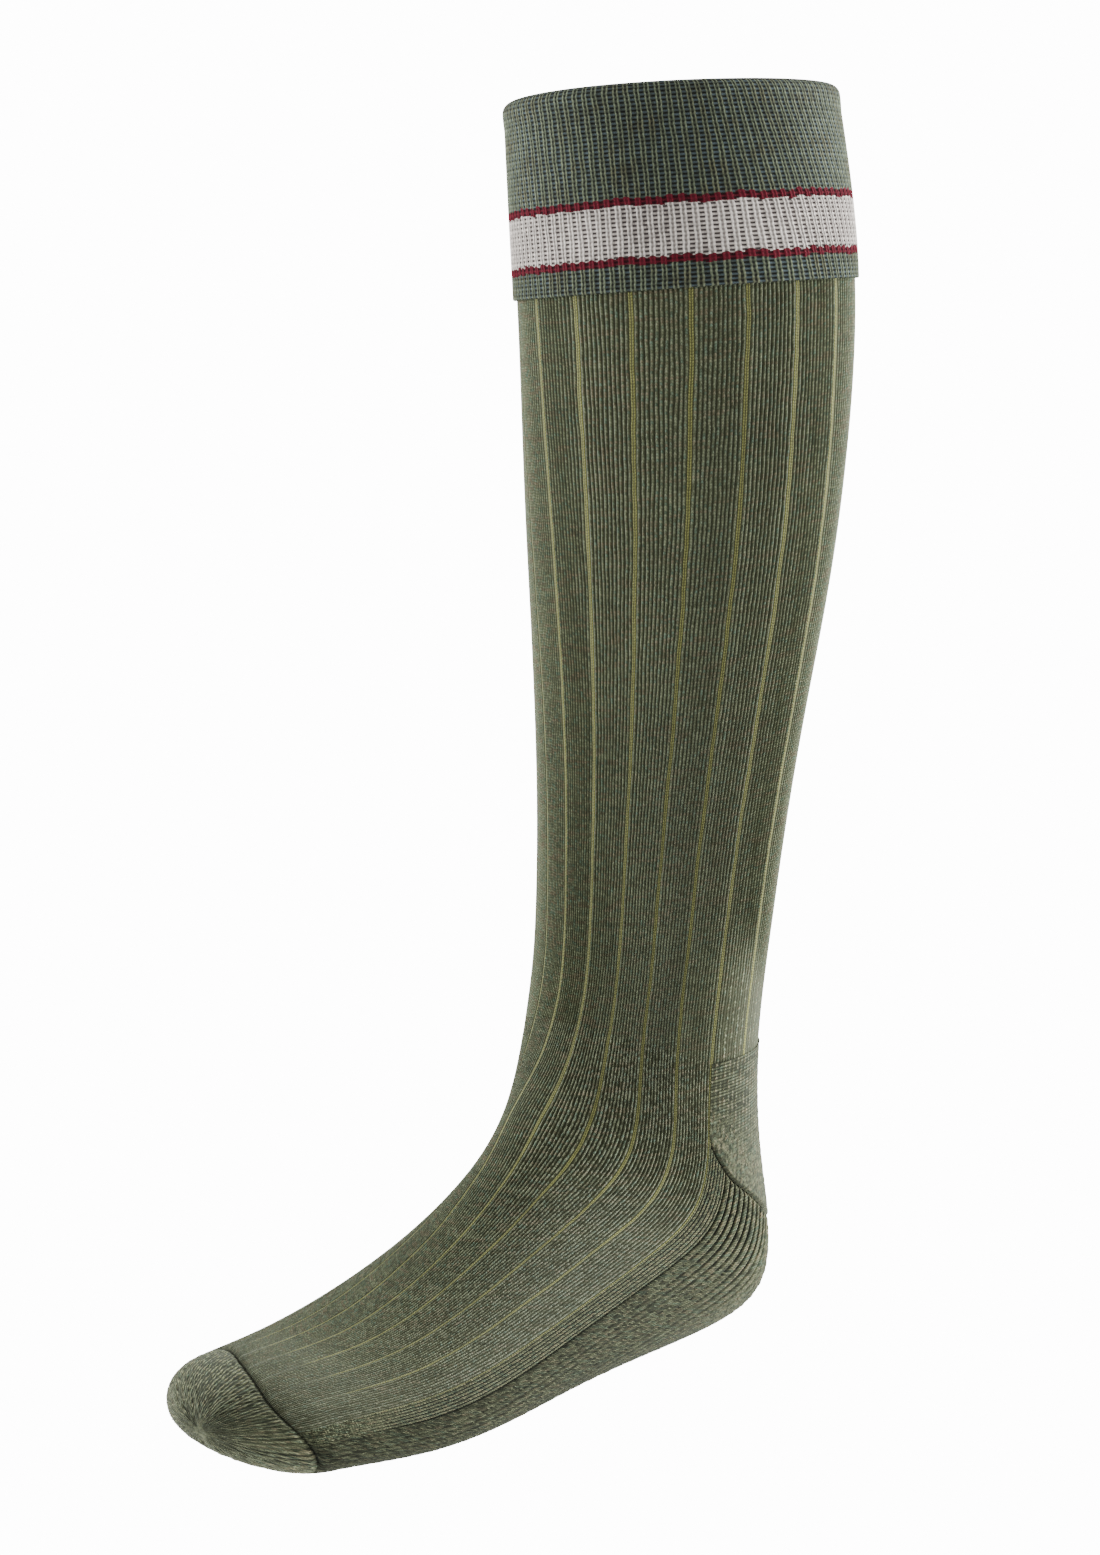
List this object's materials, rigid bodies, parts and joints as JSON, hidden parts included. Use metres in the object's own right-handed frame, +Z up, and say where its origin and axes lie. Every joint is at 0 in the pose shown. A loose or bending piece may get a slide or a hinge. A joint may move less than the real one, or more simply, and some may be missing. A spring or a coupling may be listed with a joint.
{
  "type": "over-the-calf sock",
  "caption": "Over-the-calf ribbed sock in its worn form, open at the top, with a turned-down striped cuff, terry heel and sole, and a closed toe.",
  "frame": {"origin": "centre of the leg opening at the fold of the cuff", "axes": "+Z up along the leg, out of the opening; -Y towards the toe; +X to the wearer's left of a forward-facing foot"},
  "size_m": [0.1268, 0.3034, 0.465],
  "materials": {
    "leg": "fine ribbed knit, dark olive green with olive-yellow pinstripes, matt",
    "instep": "fine ribbed knit, dark olive green with olive-yellow pinstripes, matt",
    "upper_heel": "terry knit, mottled grey-green, matt",
    "sole": "terry knit, mottled grey-green, matt",
    "toe_cap": "terry knit, mottled grey-green, matt",
    "toe_seam": "linked seam, dark green, matt",
    "turnover_cuff": "open one-and-one rib, dark bluish green, matt",
    "upper_stripe": "knitted stripe, maroon, matt",
    "cream_band": "knitted band, cream, matt",
    "lower_stripe": "knitted stripe, maroon, matt",
    "cuff_hem": "knitted hem, dark green, matt"
  },
  "bodies": {
    "root": {"leg": "leg", "instep": "instep", "upper_heel": "upper_heel", "sole": "sole", "toe_cap": "toe_cap", "toe_seam": "toe_seam", "turnover_cuff": "turnover_cuff", "upper_stripe": "upper_stripe", "cream_band": "cream_band", "lower_stripe": "lower_stripe", "cuff_hem": "cuff_hem"}
  },
  "joints": []
}
